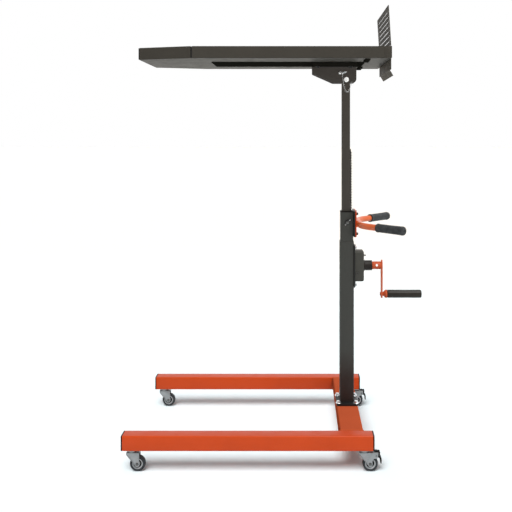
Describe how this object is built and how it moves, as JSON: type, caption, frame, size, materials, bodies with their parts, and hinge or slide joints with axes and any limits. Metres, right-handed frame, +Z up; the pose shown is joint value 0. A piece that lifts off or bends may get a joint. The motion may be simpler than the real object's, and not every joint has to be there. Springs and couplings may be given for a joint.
{
  "type": "mobile work table",
  "caption": "Mobile work table: a shallow tray with a slotted end panel tilts on a crank-raised mast, over an orange base on swivel casters, with push handles.",
  "frame": {"origin": "on the floor, under the centre of the bounding box", "axes": "+Z up; +X along the tray towards the slotted panel, the crank and the push handles; +Y to the right of someone who stands at the handles and faces the tray; Y = 0 holds the mast's axis"},
  "size_m": [1.0924, 0.677, 1.642],
  "materials": {
    "orange_paint": "satin",
    "grey_paint": "satin",
    "black_steel": "satin",
    "black_plastic": "matte",
    "black_rubber": "matte",
    "tyre_rubber": "matte",
    "hub_plastic": "satin",
    "zinc_steel": "zinc plated",
    "gear_steel": "machined"
  },
  "bodies": {
    "base": {"leg_left": "orange_paint", "leg_right": "orange_paint", "leg_cap_front_left": "black_plastic", "leg_cap_front_right": "black_plastic", "leg_cap_rear_left": "black_plastic", "leg_cap_rear_right": "black_plastic", "cross_beam": "orange_paint", "foot_plate": "black_steel", "outer_tube": "grey_paint", "sleeve": "grey_paint", "guide_bush": "black_plastic", "gear_plate": "black_steel", "gear_housing": "grey_paint", "handle_flange": "black_steel", "handle_plate": "orange_paint", "handlebar": "orange_paint", "hand_grip_left": "black_rubber", "hand_grip_right": "black_rubber", "clamp_boss": "black_steel", "caster_plate_front_left": "zinc_steel", "caster_plate_front_right": "zinc_steel", "caster_plate_rear_left": "zinc_steel", "caster_plate_rear_right": "zinc_steel"},
    "mast": {"inner_tube": "grey_paint", "guide_shoe": "black_plastic", "rack": "gear_steel", "tilt_head": "black_steel"},
    "table": {"tilt_bracket": "black_steel", "pivot_bolt": "zinc_steel", "tray_plate": "black_steel", "tray": "grey_paint", "end_panel": "grey_paint"},
    "lock_pin": {"lock_pin": "zinc_steel", "pin_chain": "zinc_steel"},
    "gear": {"lift_gear": "gear_steel"},
    "crank": {"worm_shaft": "gear_steel", "crank_arm": "orange_paint", "crank_spindle": "orange_paint"},
    "crank_grip": {"crank_grip": "black_plastic"},
    "clamp": {"clamp_screw": "zinc_steel"},
    "fork_front_left": {"caster_fork_front_left": "zinc_steel", "caster_axle_front_left": "zinc_steel"},
    "wheel_front_left": {"wheel_hub_front_left": "hub_plastic", "wheel_tyre_front_left": "tyre_rubber"},
    "fork_front_right": {"caster_fork_front_right": "zinc_steel", "caster_axle_front_right": "zinc_steel"},
    "wheel_front_right": {"wheel_hub_front_right": "hub_plastic", "wheel_tyre_front_right": "tyre_rubber"},
    "fork_rear_left": {"caster_fork_rear_left": "zinc_steel", "caster_axle_rear_left": "zinc_steel"},
    "wheel_rear_left": {"wheel_hub_rear_left": "hub_plastic", "wheel_tyre_rear_left": "tyre_rubber"},
    "pedal_rear_left": {"brake_pedal_rear_left": "black_plastic"},
    "fork_rear_right": {"caster_fork_rear_right": "zinc_steel", "caster_axle_rear_right": "zinc_steel"},
    "wheel_rear_right": {"wheel_hub_rear_right": "hub_plastic", "wheel_tyre_rear_right": "tyre_rubber"},
    "pedal_rear_right": {"brake_pedal_rear_right": "black_plastic"}
  },
  "joints": [
    {"name": "crank_turn", "type": "hinge", "parent": "base", "child": "crank", "pos_m": [0.35305, 0, 0.6595], "axis": [1, 0, 0], "range_deg": [-1718.87, 22918.31]},
    {"name": "mast_lift", "type": "slide", "parent": "base", "child": "mast", "axis": [0, 0, 1], "range_m": [-0.4001, 0.0301]},
    {"name": "gear_turn", "type": "hinge", "parent": "base", "child": "gear", "pos_m": [0.29365, 0, 0.6316], "axis": [0, 1, 0], "range_deg": [-1150, 90]},
    {"name": "grip_spin", "type": "hinge", "parent": "crank", "child": "crank_grip", "pos_m": [0.41145, 0, 0.5484], "axis": [1, 0, 0], "continuous": true},
    {"name": "table_tilt", "type": "hinge", "parent": "mast", "child": "table", "pos_m": [0.25245, 0, 1.3813], "axis": [0, 1, 0], "range_deg": [0, 45]},
    {"name": "pin_pull", "type": "slide", "parent": "table", "child": "lock_pin", "axis": [0, -1, 0], "range_m": [0, 0.062]},
    {"name": "clamp_turn", "type": "hinge", "parent": "base", "child": "clamp", "pos_m": [0.25645, -0.034, 0.831], "axis": [0, -1, 0], "range_deg": [0, 180]},
    {"name": "swivel_front_left", "type": "hinge", "parent": "base", "child": "fork_front_left", "pos_m": [-0.51215, -0.312, 0.0765], "axis": [0, 0, 1], "continuous": true},
    {"name": "roll_front_left", "type": "hinge", "parent": "fork_front_left", "child": "wheel_front_left", "pos_m": [-0.49165, -0.312, 0.027], "axis": [0, 1, 0], "continuous": true},
    {"name": "swivel_front_right", "type": "hinge", "parent": "base", "child": "fork_front_right", "pos_m": [-0.51215, 0.312, 0.0765], "axis": [0, 0, 1], "continuous": true},
    {"name": "roll_front_right", "type": "hinge", "parent": "fork_front_right", "child": "wheel_front_right", "pos_m": [-0.49165, 0.312, 0.027], "axis": [0, 1, 0], "continuous": true},
    {"name": "swivel_rear_left", "type": "hinge", "parent": "base", "child": "fork_rear_left", "pos_m": [0.29595, -0.312, 0.0765], "axis": [0, 0, 1], "continuous": true},
    {"name": "roll_rear_left", "type": "hinge", "parent": "fork_rear_left", "child": "wheel_rear_left", "pos_m": [0.31645, -0.312, 0.027], "axis": [0, 1, 0], "continuous": true},
    {"name": "brake_rear_left", "type": "hinge", "parent": "fork_rear_left", "child": "pedal_rear_left", "pos_m": [0.33695, -0.312, 0.056], "axis": [0, 1, 0], "range_deg": [-14, 0]},
    {"name": "swivel_rear_right", "type": "hinge", "parent": "base", "child": "fork_rear_right", "pos_m": [0.29595, 0.312, 0.0765], "axis": [0, 0, 1], "continuous": true},
    {"name": "roll_rear_right", "type": "hinge", "parent": "fork_rear_right", "child": "wheel_rear_right", "pos_m": [0.31645, 0.312, 0.027], "axis": [0, 1, 0], "continuous": true},
    {"name": "brake_rear_right", "type": "hinge", "parent": "fork_rear_right", "child": "pedal_rear_right", "pos_m": [0.33695, 0.312, 0.056], "axis": [0, 1, 0], "range_deg": [-14, 0]}
  ],
  "couplings": [
    {"joint": "mast_lift", "follows": "crank_turn", "m_per_rad": -0.001},
    {"joint": "gear_turn", "follows": "crank_turn", "ratio": -0.05}
  ]
}
